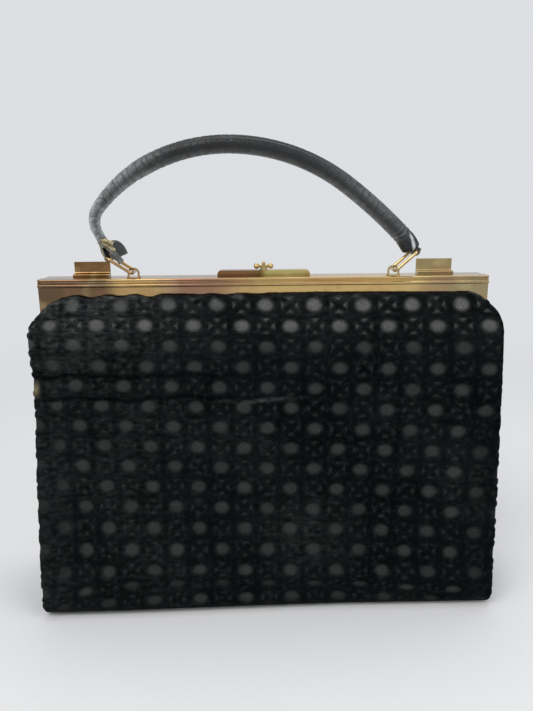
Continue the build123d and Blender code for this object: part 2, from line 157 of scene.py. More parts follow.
# How the front's edges are pulled out of line: each depth, with the spans over which it fades
pinch_depth = 0.0028
pinch_low = 0.045
pinch_high = 0.182
pinch_stop = 0.006
pinch_reach = 0.018
low_tuck = 0.0018
low_tuck_span = (0.02, 0.10)
corner_pull = 0.0032
pull_reach = 0.016
right_puff = 0.0022
puff_reach = 0.022
puff_rise = (0.05, 0.17)
puff_fall = (0.178, 0.198)
top_sag = 0.0014
sag_span = (-0.11, -0.04)
sag_low = 0.185
top_waves = 0.0018
wave_span = (-0.06, 0.04)
belly = 0.0062
belly_across = (-0.14, 0.07)
belly_start = 0.010
belly_fall = (0.012, 0.085)

# Zones of the front where the pattern is darker or the pile is worn, and spots by their middle and size
low_edge = (0.006, 0.013)
low_zone = (0.110, 0.150)
upper_zone = (0.150, 0.195)
top_row = (0.190, 0.196)
side_zone = (0.112, 0.138)
left_edge = (-0.138, -0.118)
left_zone = (-0.085, 0.0)
top_fold = (0.0005, 0.0022)
scuff_spot = ((0.024, 0.053), (0.028, 0.024))
corner_spot = ((-0.125, 0.190), (0.030, 0.024))
bare_spot = ((-0.1432, 0.1470), (0.0020, 0.0034))
corner_lumps = 0.0007

# Tones of the velvet, the leather, the lining, the card and the floor
pile_tones = ((0.0009, 0.0014, 0.0016), (0.0032, 0.0042, 0.0046))
pile_fleck = (0.0122, 0.0152, 0.0160)
# Grey of worn pile, also used for the painted highlight below the lower crease.
pile_wear_and_highlight = (0.100, 0.106, 0.106)
pile_band = (0.0007, 0.0011, 0.0013)
satin_tones = ((0.044, 0.047, 0.047), (0.168, 0.170, 0.165))
satin_shade = (0.008, 0.009, 0.009)
satin_thread = (0.015, 0.015, 0.015)
# Heights over which the satin turns to its brighter tone: painted light from above on the top rows.
satin_top_light = (0.169, 0.190)
bare_tone = (0.24, 0.21, 0.12)
sheen_tint = (0.56, 0.65, 0.69, 1.0)
leather_tones = ((0.0065, 0.0072, 0.0078), (0.0150, 0.0165, 0.0175))
leather_grain = (0.004, 0.004, 0.004)
# Silver grey of rubbed leather, also used for painted sheen and painted light on the handle.
leather_rubbed_and_sheen = (0.50, 0.53, 0.53)
raw_tones = ((0.33, 0.25, 0.09), (0.62, 0.55, 0.34))
lining_tones = ((0.016, 0.014, 0.014), (0.034, 0.030, 0.029))
lining_thread = (0.010, 0.009, 0.009)
card_tones = ((0.24, 0.21, 0.17), (0.36, 0.32, 0.26))
floor_tones = ((0.85, 0.85, 0.86), (0.88, 0.88, 0.88))

# Tones of the brass from left to right, partly patina and partly painted reflections of the surroundings,
# the places where one turns into the next, and its stains
frame_tones = (
    (0.150, 0.101, 0.056), (0.53, 0.37, 0.145), (0.35, 0.20, 0.125),
    (0.66, 0.46, 0.185), (0.38, 0.31, 0.172),
)
frame_turns = ((-0.100, -0.088), (-0.074, -0.056), (-0.036, 0.000), (0.078, 0.118))
fitting_tones = ((0.39, 0.285, 0.13), (0.48, 0.37, 0.162), (0.48, 0.395, 0.205))
fitting_turns = ((-0.12, 0.0), (0.05, 0.14))
plate_tones = ((0.18, 0.100, 0.035), (0.53, 0.445, 0.17), (0.36, 0.29, 0.132))
plate_turns = ((-0.003, 0.003), (0.05, 0.08))
brass_red = (0.44, 0.20, 0.11)
brass_glint = (0.92, 0.72, 0.36)
brass_stain = (0.17, 0.10, 0.05)

# Lines along the brass rail: middle height, half width, tone and strength of the dirt, tarnish and painted
# shade
dirt_and_bead_shade = (0.075, 0.052, 0.035)
tarnish = (0.28, 0.19, 0.10)
rail_lines = (
    (0.2131, 0.0006, tarnish, 0.60),
    (0.2113, 0.0007, dirt_and_bead_shade, 0.30),
    # Painted shade along the bead, strongest at the left.
    (0.2097, 0.0010, dirt_and_bead_shade, 0.45),
    (0.2080, 0.0006, dirt_and_bead_shade, 0.35),
)

# Gussets
gusset_low = 0.0055
gusset_neck = 0.140
gusset_shoulder = 0.186
gusset_top = 0.205
gusset_low_outer = 0.142
gusset_neck_outer = 0.1271
gusset_low_fold = 0.0035
gusset_fold = 0.0075
gusset_jaw_reach = 0.0074
gusset_split = 0.149
gusset_overlap = 0.004
gusset_gap = 0.0004
gusset_ripple = 0.0005
gusset_grid = (48, 150)
gusset_fan_grid = (48, 60)
gusset_pattern_shift = 0.005
cloth_thickness = 0.0008
panel_wall = 0.0050

# Lining
lining_low = 0.0052
lining_top = 0.200
lining_low_half = 0.1331
lining_neck_half = 0.1188
lining_low_reach = 0.0284
lining_top_reach = 0.0070
lining_shoulder = 0.1926
lining_thickness = cloth_thickness / 2
lining_overlap = 0.003
lining_gap = 0.0006
lining_seam_gap = 0.0004
lining_slack = 0.0004
lining_wall_grid = (60, 90)
lining_floor_grid = (60, 12)
lining_end_grid = (10, 60)
lining_fan_grid = (10, 30)

# Handle: middle line, tube, rings and straps
lug_half = 0.080
handle_rise = 0.0746
handle_peak = -0.0210
left_shoulder_shares = (-0.875, 0.838)
left_bend_shares = (-1.234, 0.516)
left_end_shares = (-1.241, 0.307)
right_shoulder_shares = (0.625, 0.685)
right_bend_shares = (1.050, 0.287)
handle_radius = 0.0054
bend_radius_share = 0.70
neck_radius = 0.0028
neck_stop = 0.0060
right_tip = (0.0911, 0.2276)
arc_steps = 80
left_arc_steps = 70
neck_steps = 30
neck_taper = 0.95
tube_rings = 620
tube_sides = 72
right_closing = 0.0034
left_closing = 0.0022
tip_share = 0.001
ring_length = 0.017
left_ring_lean = math.radians(57)
right_ring_lean = math.radians(48.5)
ring_wire = 0.0010
strap_width = 0.009
strap_neck = 0.0042
strap_thickness = 0.0014
strap_gap = 0.0002
strap_bow = 0.0006
strap_steps = 60
strap_fold_reach = 0.15
strap_fold_steps = 9
strap_sides = 20
left_strap_ends = ((-0.0016, 0.0030), (0.0030, -0.0015))
right_strap_ends = ((0.0034, 0.0020), (-0.0006, 0.0014))

# Handle's embossing: bands, seam with its lip, split right end and wrinkles beside it
band_pitch = 0.0044
band_depth = 0.00040
band_least = 0.22
band_span = (0.45, 0.88)
band_edge = 0.26
band_waves = ((0.0008, 310), (0.0005, 830))
band_slant = (0.0005, 140)
seam_angle = math.radians(38)
seam_depth = 0.00045
seam_width = 0.0005
lip_place = 0.0012
lip_width = 0.0008
lip_height = 0.00022
slot_angle = math.radians(272)
slot_lean = 70.0
slot_width = 0.0010
slot_depth = 0.0005
sleeve_height = 0.0003
sleeve_end = (0.008, 0.012)
wrinkle_place = 0.0135
wrinkle_width = 0.003
wrinkle_height = 0.00016
wrinkle_pace = 2100

# Torn left end: name, twist, shift along Y, width, raw edge, raw face, rub, and steps from the ring's bar
left_flaps = (
    ("left_inner_fold", 1.25, 0.0012, 0.0056, 0.0, 0.0, 0.0,
     ((-0.0046, 0.0088), (-0.0030, 0.0052), (-0.0012, 0.0018), (0.0006, 0.0004))),
    ("left_upper_flap", 1.15, -0.0002, 0.0068, 0.20, 0.0, 0.08,
     ((-0.0014, 0.0090), (0.0032, 0.0080), (0.0066, 0.0050), (0.0084, 0.0010))),
    ("left_upper_strip", 0.90, -0.0030, 0.0022, 1.0, 0.9, 0.0,
     ((-0.0036, 0.0106), (0.0002, 0.0098), (0.0036, 0.0082))),
    ("left_middle_strip", 0.90, -0.0034, 0.0021, 1.0, 0.8, 0.0,
     ((-0.0030, 0.0088), (0.0010, 0.0068), (0.0044, 0.0042))),
    ("left_lower_flap", 1.00, -0.0028, 0.0038, 0.3, 0.0, 0.36,
     ((-0.0036, 0.0090), (0.0008, 0.0056), (0.0044, 0.0018), (0.0080, -0.0030))),
)

# Camera, from the photograph's perspective
image_height = 711
focal_pixels = 640
camera_place = Vector((-0.00295, -0.39954, 0.26279))
camera_yaw = 0.0106
camera_pitch = 0.2478
camera_roll = -0.0089
sensor_height = 36.0
nearest_seen = 0.01

# Surround, floor and lamps, each with its place, size and power
surround_tone = (0.95, 0.97, 1.0)
surround_level = 0.40
backdrop_level = 0.76
floor_rings = (0.4, 1.0, 3.0, 30.0)
floor_fade = (0.22, 0.95)
floor_sides = 64
floor_height = -0.0002
lamp_target = Vector((0, 0, 0.15))
lamps = (
    ("key_light", (-0.55, -0.75, 1.15), (0.9, 0.7), 8.0),
    ("fill_light", (0.85, -0.65, 0.60), (0.7, 0.8), 3.6),
    ("top_light", (0.1, 0.25, 1.3), (1.0, 0.7), 5.0),
)


# Small helpers
def smooth(low, high, value):
    """Smooth step from 0 at low to 1 at high."""
    t = np.clip((value - low) / (high - low), 0.0, 1.0)
    return t * t * (3 - 2 * t)


def bell(value, width):
    """Bell curve of a half width."""
    return np.exp(-((value / width) ** 2))


def noise_field(points, scale, seed):
    """Smooth noise from about -1 to 1 at each point, with features of a given size."""
    shift = Vector((seed * 7.31, seed * 3.17, seed * 5.53))
    return np.array([noise.noise(Vector(p) / scale + shift) for p in points])


def add_object(name, data):
    """New object in the scene."""
    piece = bpy.data.objects.new(name, data)
    bpy.context.scene.collection.objects.link(piece)
    return piece


def smooth_piece(name, mesh, work):
    """New object from worked faces, with its normals turned outwards."""
    bmesh.ops.recalc_face_normals(work, faces=work.faces)
    work.to_mesh(mesh)
    work.free()
    mesh.polygons.foreach_set("use_smooth", [True] * len(mesh.polygons))
    mesh.update()
    return add_object(name, mesh)


def mesh_piece(name, points, faces):
    """New object from points and faces."""
    mesh = bpy.data.meshes.new(name)
    mesh.from_pydata([tuple(p) for p in points], [], faces)
    work = bmesh.new()
    work.from_mesh(mesh)
    return smooth_piece(name, mesh, work)


def add_attribute(piece, name, values):
    """Stores one number for each vertex of a piece."""
    attribute = piece.data.attributes.new(name, "FLOAT", "POINT")
    attribute.data.foreach_set("value", np.asarray(values, np.float32))


def grid_faces(columns, rows, closed=False):
    """Quads of a grid whose vertices run row by row; a closed grid joins its last column to its first."""
    across = columns if closed else columns + 1
    faces = []
    for j in range(rows):
        for i in range(columns):
            k = (i + 1) % across
            low = j * across
            faces.append((low + i, low + k, low + across + k, low + across + i))
    return faces


def tube_faces(sides, rings):
    """Faces of a tube with closed ends, ring by ring."""
    last = (rings - 1) * sides
    ends = [tuple(range(sides)), tuple(range(last, last + sides))]
    return grid_faces(sides, rings - 1, closed=True) + ends


# Materials
class Nodes:
    """Short way to write a material's nodes."""

    def __init__(self, name):
        self.material = bpy.data.materials.new(name)
        self.material.use_nodes = True
        self.tree = self.material.node_tree
        self.shader = self.tree.nodes["Principled BSDF"]

    def fill(self, socket, value):
        """Links an output to a socket, or sets the socket to a plain value."""
        if isinstance(value, bpy.types.NodeSocket):
            self.tree.links.new(value, socket)
        else:
            socket.default_value = value

    def add(self, kind, inputs, **settings):
        """New node with its settings and its inputs."""
        node = self.tree.nodes.new(kind)
        for key, value in settings.items():
            setattr(node, key, value)
        for key, value in inputs.items():
            self.fill(node.inputs[key], value)
        return node

    def place(self, stretch=(1, 1, 1)):
        """Object coordinates, stretched along the axes."""
        spot = self.add("ShaderNodeTexCoord", {}).outputs["Object"]
        return self.add("ShaderNodeMapping", {"Scale": stretch, "Vector": spot}).outputs["Vector"]

    def axes(self):
        """Object coordinates, each axis for itself."""
        return self.add("ShaderNodeSeparateXYZ", {"Vector": self.place()}).outputs

    def noise(self, scale, detail=4.0, stretch=(1, 1, 1), rough=0.55):
        inputs = {"Scale": scale, "Detail": detail, "Roughness": rough, "Vector": self.place(stretch)}
        return self.add("ShaderNodeTexNoise", inputs).outputs["Fac"]

    def attribute(self, name):
        return self.add("ShaderNodeAttribute", {}, attribute_name=name).outputs["Fac"]

    def math(self, operation, *values):
        return self.add("ShaderNodeMath", dict(enumerate(values)), operation=operation).outputs["Value"]

    def span(self, value, low, high, to_low=0.0, to_high=1.0):
        """Maps a range smoothly onto another."""
        inputs = {"Value": value, "From Min": low, "From Max": high, "To Min": to_low, "To Max": to_high}
        return self.add("ShaderNodeMapRange", inputs, interpolation_type="SMOOTHSTEP").outputs["Result"]

    def mix(self, share, a, b):
        a, b = (v if isinstance(v, bpy.types.NodeSocket) else (*v, 1.0) for v in (a, b))
        return self.add("ShaderNodeMix", {"Factor": share, 6: a, 7: b}, data_type="RGBA").outputs[2]

    def bump(self, height, strength, distance, **normal):
        inputs = {"Height": height, "Strength": strength, "Distance": distance, **normal}
        return self.add("ShaderNodeBump", inputs).outputs["Normal"]

    def set(self, **values):
        """Sets or links sockets of the shader; an underscore in a name stands for a space."""
        for name, value in values.items():
            self.fill(self.shader.inputs[name.replace("_", " ")], value)
        return self.material


def velvet_material():
    """Near-black pile, dull satin in the pattern with painted light from above on the top rows, and grey
    where it is worn and where a highlight is painted.
    """
    n = Nodes("cut_velvet")
    ragged = n.span(n.noise(1100, 3), 0.30, 0.70, 0.70, 1.20)
    ground = n.math("MULTIPLY", n.attribute("ground"), ragged)
    patches = n.span(n.noise(300, 6, (0.55, 0.55, 1.5), 0.65), 0.30, 0.78)
    wear = n.math("MULTIPLY", n.attribute("wear"), patches)
    pile = n.mix(n.span(n.noise(34, 5), 0.3, 0.7), *pile_tones)
    pile = n.mix(n.span(n.noise(310, 5), 0.46, 0.72, 0.0, 0.75), pile, pile_fleck)
    pile = n.mix(wear, pile, pile_wear_and_highlight)
    bands = n.math("MULTIPLY", n.attribute("lattice"), n.span(n.noise(90, 4), 0.32, 0.68, 0.08, 0.55))
    pile = n.mix(bands, pile, pile_band)
    # Painted light from above: the satin is brighter in the top rows.
    satin = n.mix(n.span(n.axes()["Z"], *satin_top_light), *satin_tones)
    shaded = n.mix(0.6, satin, satin_shade)
    satin = n.mix(n.span(n.noise(60, 4), 0.3, 0.75, 0.0, 0.6), satin, shaded)
    threads = n.noise(900, 2, (1, 1, 4))
    satin = n.mix(n.span(threads, 0.35, 0.65, 0.0, 0.3), satin, satin_thread)
    colour = n.mix(ground, pile, satin)
    colour = n.mix(n.attribute("bare"), colour, bare_tone)
    roughness = n.span(ground, 0, 1, 0.95, 0.62)
    fibres = n.noise(2600, 3)
    clumps = n.noise(420, 4)
    relief = n.math("ADD", n.math("MULTIPLY", fibres, 0.6), clumps)
    normal = n.bump(relief, 0.6, 0.0007)
    return n.set(
        Base_Color=colour, Roughness=roughness, Normal=normal, Specular_IOR_Level=0.045,
        Sheen_Weight=0.020, Sheen_Roughness=0.40, Sheen_Tint=sheen_tint,
    )


def brass_material(name, tones, turns, wander, red_share, moulded=False):
    """Aged brass whose tone changes along X, partly patina and partly painted reflections of the
    surroundings, with red and dull stains and painted glints; a moulded rail has dirty grooves and painted
    shade along its bead.
    """
    n = Nodes(name)
    axes = n.axes()
    drift = n.math("MULTIPLY_ADD", n.noise(14, 2, (1, 0.2, 0.2)), wander, axes["X"])
    drift = n.math("SUBTRACT", drift, wander / 2)
    # Tones along X: partly patina, partly painted reflections of the surroundings.
    colour = tones[0]
    for tone, (start, end) in zip(tones[1:], turns):
        colour = n.mix(n.span(drift, start, end), colour, tone)
    reddish = n.span(n.noise(42, 2, (1, 0.3, 1.6)), 0.42, 0.62, 0.0, red_share)
    colour = n.mix(reddish, colour, n.mix(0.75, colour, brass_red))
    glints = n.span(n.noise(60, 2, (1, 0.3, 1.2)), 0.52, 0.72, 0.0, red_share)
    colour = n.mix(glints, colour, n.mix(0.5, colour, brass_glint))
    stain = n.span(n.noise(120, 4), 0.60, 0.82, 0.0, 0.35)
    colour = n.mix(stain, colour, brass_stain)
    scratches = n.noise(50, 3, (0.12, 40, 40))
    roughness = n.math("ADD", n.span(scratches, 0.3, 0.7, 0.11, 0.19), n.math("MULTIPLY", stain, 0.3))
    if moulded:
        # Dirty grooves, and painted shade along the bead; all fade towards the right.
        fading = n.span(drift, -0.03, 0.06, 1.0, 0.2)
        for middle, width, tone, share in rail_lines:
            away = n.math("ABSOLUTE", n.math("SUBTRACT", axes["Z"], middle))
            dirt_and_shade = n.math("MULTIPLY", n.span(away, width / 2, width, share, 0.0), fading)
            colour = n.mix(dirt_and_shade, colour, tone)
    normal = n.bump(scratches, 0.03, 0.0002)
    return n.set(Base_Color=colour, Metallic=1.0, Roughness=roughness, Normal=normal)


def leather_material():
    """Charcoal embossed leather, silver grey where it is rubbed and where sheen is painted, with cream raw
    edges.
    """
    n = Nodes("embossed_leather")
    grain = n.add("ShaderNodeTexVoronoi", {"Scale": 520, "Vector": n.place()}, feature="DISTANCE_TO_EDGE")
    pebble = n.span(grain.outputs["Distance"], 0.0, 0.25)
    # Rub and painted sheen, from the handle's attribute.
    rubbed = n.math("MULTIPLY", n.attribute("rub"), n.span(n.noise(300, 6), 0.12, 0.88, 0.1, 0.9))
    rubbed = n.math("MINIMUM", rubbed, 1.0)
    colour = n.mix(n.span(n.noise(70, 5), 0.3, 0.7), *leather_tones)
    colour = n.mix(n.span(pebble, 0.0, 1.0, 0.5, 0.0), colour, leather_grain)
    colour = n.mix(rubbed, colour, leather_rubbed_and_sheen)
    raw = n.math("MULTIPLY", n.attribute("raw"), n.span(n.noise(420, 5), 0.28, 0.6, 0.35, 1.0))
    colour = n.mix(raw, colour, n.mix(n.span(n.noise(700, 3), 0.35, 0.65), *raw_tones))
    roughness = n.math("ADD", n.span(n.noise(180, 4), 0.3, 0.7, 0.30, 0.46), n.math("MULTIPLY", raw, 0.3))
    normal = n.bump(pebble, 0.30, 0.0002, Normal=n.bump(n.noise(1500, 4), 0.18, 0.0002))
    return n.set(Base_Color=colour, Roughness=roughness, Normal=normal, Specular_IOR_Level=0.36)


def lining_material():
    """Dark satin with a fine weave and faint streaks."""
    n = Nodes("lining_satin")
    warp = n.noise(1500, 2, (1, 1, 0.1))
    colour = n.mix(n.span(n.noise(30, 4, (1, 1, 0.3)), 0.3, 0.7), *lining_tones)
    colour = n.mix(n.span(warp, 0.35, 0.65, 0.0, 0.4), colour, lining_thread)
    normal = n.bump(warp, 0.2, 0.0002)
    return n.set(Base_Color=colour, Roughness=0.48, Normal=normal, Sheen_Weight=0.1)


def board_material():
    """Grey pressed card with flecks."""
    n = Nodes("grey_card")
    flecks = n.noise(900, 4)
    colour = n.mix(n.span(flecks, 0.35, 0.7), *card_tones)
    return n.set(Base_Color=colour, Roughness=0.9, Normal=n.bump(flecks, 0.2, 0.0002))


def seen_directly(tree):
    """1 for rays from the camera, a reflection or a clear surface, and 0 for the light itself."""
    path = tree.nodes.new("ShaderNodeLightPath")
    seen = path.outputs["Is Camera Ray"]
    for ray in ("Is Glossy Ray", "Is Transmission Ray"):
        either = tree.nodes.new("ShaderNodeMath")
        either.operation = "MAXIMUM"
        tree.links.new(seen, either.inputs[0])
        tree.links.new(path.outputs[ray], either.inputs[1])
        seen = either.outputs["Value"]
    return seen


def floor_material():
    """Plain pale floor that melts into the backdrop's tone away from the bag."""
    n = Nodes("pale_floor")
    colour = n.mix(n.noise(3, 2), *floor_tones)
    reach = n.add("ShaderNodeVectorMath", {0: n.place()}, operation="LENGTH")
    far = n.math("MULTIPLY", n.span(reach.outputs["Value"], *floor_fade), seen_directly(n.tree))
    colour = n.mix(far, colour, (0.0, 0.0, 0.0))
    glow = n.math("MULTIPLY", far, backdrop_level)
    return n.set(
        Base_Color=colour, Roughness=0.8, Specular_IOR_Level=0.0,
        Emission_Color=(*surround_tone, 1.0), Emission_Strength=glow,
    )


def dress(piece, material):
    """Gives a piece one material."""
    piece.data.materials.clear()
    piece.data.materials.append(material)
    return piece


# Velvet
def wall_distance(height):
    """Distance of the wall from the middle plane at a height."""
    share = height / body_height
    return base_half + (top_half - base_half) * share + wall_bulge * 4 * share * (1 - share)


def wall_profile():
    """Section of a velvet panel from its hem round the base roll and up the wall: length, place, heading."""
    middle = wall_distance(base_roll) - base_roll
    turns = np.linspace(-math.pi / 2, 0, roll_steps)
    heights = np.linspace(base_roll, body_height, wall_steps)
    hem = np.linspace(hem_end, middle, hem_steps)[:-1]
    out = np.concatenate([hem, middle + base_roll * np.cos(turns), wall_distance(heights)[1:]])
    up = np.concatenate([0 * hem, base_roll + base_roll * np.sin(turns), heights[1:]])
    length = np.concatenate([[0], np.cumsum(np.hypot(np.diff(out), np.diff(up)))])
    along = np.stack([np.gradient(out, length), np.gradient(up, length)])
    along /= np.hypot(*along)
    return length, out, up, along


def pattern_cell(x, z):
    """Column and row of the pattern at places of the cloth, as numbers with a fraction."""
    return (x - pattern_offset) / column_pitch, (body_height - first_row_drop - z) / row_pitch


def pattern_depth(x, z):
    """How far places of the cloth lie inside a sunk figure, below 0 in the pile, and the figure's tone."""
    u, w = pattern_cell(x, z)
    column = np.round(u)
    row = np.round(w)
    p = np.abs(u - column) * column_pitch
    q = np.abs(w - row) * row_pitch
    hexagon = np.maximum(q / (dot_height / 2), p / (dot_width / 2) * 0.87 + q / (dot_height / 2) * 0.5)
    oval = np.hypot(p / (dot_width / 2), q / (dot_height / 2))
    dot_edge = (1 - np.maximum(oval, 0.5 * (hexagon + oval))) * dot_height / 2
    slope = cross_height / cross_width
    stroke = np.abs(q - p * slope) / math.hypot(1, slope) - cross_stroke / 2
    side = np.minimum(cross_width / 2 - p, cross_height / 2 - q)
    cross_edge = np.minimum(stroke, side)
    is_dot = (row + column) % 2 == 0
    return np.where(is_dot, dot_edge, cross_edge), np.where(is_dot, 1.0, cross_tone)


def lattice_share(x, z):
    """How near places of the cloth are to the bands of pile between the figures, from 0 to 1."""
    u, w = pattern_cell(x, z)
    upright = smooth(*lattice_span, 2 * np.abs(u - np.round(u)))
    level = smooth(*lattice_span, 2 * np.abs(w - np.round(w)))
    return np.maximum(upright, level_share * level)


def buckle(x):
    """Height and half width of the buckle along the front's lower edge at places across."""
    return np.interp(x, buckle_places, buckle_heights), np.interp(x, buckle_places, buckle_halves)


def drifted(x, z):
    """Places of the woven pattern at places of the front cloth, which was stretched unevenly."""
    u = x / half_width
    w = np.clip(z / body_height, 0, 1)
    across = sum(k * u**p * w**q for (p, q), k in drift_across.items())
    up = sum(k * u**p * w**q for (p, q), k in drift_up.items())
    low, half = buckle(x)
    tuck = buckle_tuck * (1 - smooth(low - half, low + half, z))
    return x + across, z + up - tuck


def pattern_tone(x, z):
    """Brightness of the ground at places of the cloth: full inside the dots, dimmer in the crosses, and
    darker towards each figure's edge, partly pile leaning over it and partly painted shade.
    """
    edge, tone = pattern_depth(x, z)
    is_cross = tone < 1
    start = -edge_shade_depth * np.where(is_cross, cross_spread, dot_spread)
    return tone * smooth(start, edge_shade_depth, edge * np.where(is_cross, cross_gain, 1.0))


def panel_plan(top):
    """Grid of the flat cloth of a panel, with rounded upper corners: across and along."""
    roll = edge_roll * math.pi / 2 + edge_tail
    wide = half_width - edge_roll + roll
    high = top - edge_roll + roll
    radius = corner_radius - edge_roll + roll
    x, v = np.meshgrid(np.linspace(-wide, wide, panel_columns + 1), np.linspace(0, high, panel_rows + 1))
    a = (np.abs(x) - (wide - radius)) / radius
    b = (v - (high - radius)) / radius
    corner = (a > 0) & (b > 0)
    reach = np.maximum(a, b)
    low_turn = math.pi / 4 * np.divide(b, a, out=np.ones_like(a), where=corner & (a >= b))
    high_turn = math.pi / 2 - math.pi / 4 * np.divide(a, b, out=np.ones_like(a), where=corner & (b > a))
    turn = np.where(a >= b, low_turn, high_turn)
    x = np.where(corner, np.sign(x) * (wide - radius + radius * reach * np.cos(turn)), x)
    v = np.where(corner, high - radius + radius * reach * np.sin(turn), v)
    return x.ravel(), v.ravel()


def roll_edges(x, v, top):
    """Rolls the cloth back over its side and upper edges: new place, depth, turn and outward direction."""
    core_half = half_width - edge_roll
    core_top = top - edge_roll
    radius = corner_radius - edge_roll
    qx = np.abs(x) - (core_half - radius)
    qv = v - (core_top - radius)
    far = np.hypot(np.maximum(qx, 1e-9), np.maximum(qv, 1e-9))
    corner = (qx > 0) & (qv > 0)
    past = np.where(corner, far, np.maximum(qx, qv)) - radius
    nx = np.where(corner, qx / far, np.where(qx > qv, 1.0, 0.0)) * np.sign(x)
    nv = np.where(corner, qv / far, np.where(qx > qv, 0.0, 1.0))
    past = np.maximum(past, 0)
    turn = np.minimum(past / edge_roll, math.pi / 2)
    drawn = past - edge_roll * np.sin(turn)
    depth = edge_roll * (1 - np.cos(turn)) + np.maximum(past - edge_roll * math.pi / 2, 0)
    return x - nx * drawn, v - nv * drawn, depth, turn, nx, nv


def crease_relief(x, z):
    """Relief of the two creases and the cloth between them, a painted highlight below the lower one, and
    their painted shade.
    """
    relief = np.zeros_like(x)
    shade = np.zeros_like(x)
    wander = sum(size * np.sin(x * pace + start) for size, pace, start in crease_waves)
    for height, end in zip(crease_heights, crease_ends):
        fade = 1 - smooth(end - crease_fade, end, x)
        above = z - height - wander
        line = fade * bell(above, crease_width)
        relief -= crease_depth * line
        relief += 0.3 * crease_depth * fade * bell(above - 2.4 * crease_width, 2 * crease_width)
        shade = np.maximum(shade, line)
    between = bell(z - sum(crease_heights) / 2, crease_puff_width)
    relief += 0.6 * crease_depth * (1 - smooth(*crease_puff_span, x)) * between
    low_line = crease_heights[1] + wander - 1.4 * crease_width
    wear = 0.8 * bell(x, crease_highlight_width) * bell(z - low_line, crease_width)
    return relief, wear, shade


def new_cloth(side, worn):
    """Flat cloth of a panel: arrays of its places, edge roll, place in the pattern and noise."""
    c = SimpleNamespace(side=side)
    c.length, c.out, c.up, c.along = wall_profile()
    top = c.length[-1]
    c.flat_x, c.flat_v = panel_plan(top)
    c.x, c.v, c.depth, c.turn, c.nx, c.nv = roll_edges(c.flat_x, c.flat_v, top)
    c.rolled = c.turn / (math.pi / 2)
    wall_start = np.interp(base_roll, c.up[hem_steps:], c.length[hem_steps:])
    c.flat_z = base_roll + (c.flat_v - wall_start) * (body_height - base_roll) / (top - wall_start)
    c.woven = drifted(c.flat_x, c.flat_z) if worn else (c.flat_x, c.flat_z)
    c.place = np.stack([c.flat_x, np.full_like(c.flat_x, side * noise_plane), c.flat_z], axis=1)
    c.broad = noise_field(c.place, broad_size, 1)
    c.lumps = noise_field(c.place, lump_size, 2)
    c.fuzz = noise_field(c.place, fuzz_size, 3)
    return c


def weave(c):
    """Relief and tones of the pattern, and the wear that both panels have."""
    woven_x, woven_z = c.woven
    sunk = smooth(-pattern_softness, pattern_softness, pattern_depth(woven_x, woven_z)[0])
    c.relief = pile_height * (1 - sunk) * (1 + fuzz_share * c.fuzz)
    c.relief += broad_height * c.broad + lump_height * c.lumps
    c.ground = pattern_tone(woven_x + edge_jitter * c.fuzz, woven_z + edge_jitter * c.lumps)
    c.ground *= 1 + broad_tone * c.broad
    c.lattice = lattice_share(woven_x, woven_z)
    c.wear = 0.35 * smooth(0.25, 0.6, c.rolled) * smooth(-0.1, 0.5, c.lumps)
    c.wear += 0.09 * smooth(0.0, 0.6, c.broad)
    c.bare = np.zeros_like(c.wear)
    c.swell = np.zeros_like(c.wear)


def fold_front(c):
    """Creases of the front at its hinges, and the buckle along its lower edge, with painted shade in the
    creases and in the buckle's groove.
    """
    facing = np.cos(c.turn) ** 2
    creases, crease_highlight, crease_shade = crease_relief(c.flat_x, c.flat_z)
    c.relief += creases * facing
    # Painted shade in the creases, and a painted highlight below the lower one.
    c.ground *= 1 - 0.85 * crease_shade
    c.wear = c.wear * (1 - crease_shade) + crease_highlight
    height, half = buckle(c.flat_x)
    past = (c.flat_z - height) / half
    ends = smooth(*buckle_start, c.flat_x) * (1 - smooth(*buckle_stop, c.flat_x))
    groove = ends * bell(past + 0.2, 0.4)
    ridge = ends * bell(past - 0.5, 0.5)
    c.relief += buckle_depth * (0.5 * ridge - groove) * facing
    # Painted shade in the buckle's groove.
    c.ground *= 1 - 0.45 * groove


def spot(c, middle, size):
    """Soft spot on the cloth, 1 at its middle."""
    return bell(c.flat_x - middle[0], size[0]) * bell(c.flat_z - middle[1], size[1])


def rub_front(c):
    """Zones of the front with a dimmed pattern or a rubbed pile."""
    low_part = 1 - smooth(*low_zone, c.flat_z)
    upper_part = smooth(*upper_zone, c.flat_z)
    left_side = 1 - smooth(*left_zone, c.flat_x)
    # The pattern is darker towards the bottom edge, towards the sides low down, and along the top row at the
    # left.
    c.ground *= 1 - 0.45 * (1 - smooth(*low_edge, c.flat_z))
    c.ground *= 1 - 0.5 * smooth(*side_zone, np.abs(c.flat_x)) * low_part
    c.ground *= 1 - 0.45 * left_side * smooth(*top_row, c.flat_z)
    c.wear += 0.12 * (1 - smooth(*left_edge, c.flat_x)) * low_part
    c.wear += left_side * (0.06 + 0.14 * upper_part) + 0.09 * upper_part


def scuff_front(c):
    """Scuffed spots of the front, its worn upper fold and corner, and a bare patch."""
    fold_rise, fold_width = top_fold
    fold = bell(c.flat_z - body_height - fold_rise, fold_width)
    corner = spot(c, *corner_spot)
    c.wear += 0.22 * spot(c, *scuff_spot) + 0.20 * corner + 1.2 * fold * smooth(0.0, 0.3, c.lumps)
    c.wear += 1.1 * corner * smooth(0.05, 0.35, c.rolled) * smooth(0.05, 0.35, c.lumps)
    c.relief += corner_lumps * corner * c.lumps
    c.bare += 0.8 * spot(c, *bare_spot)


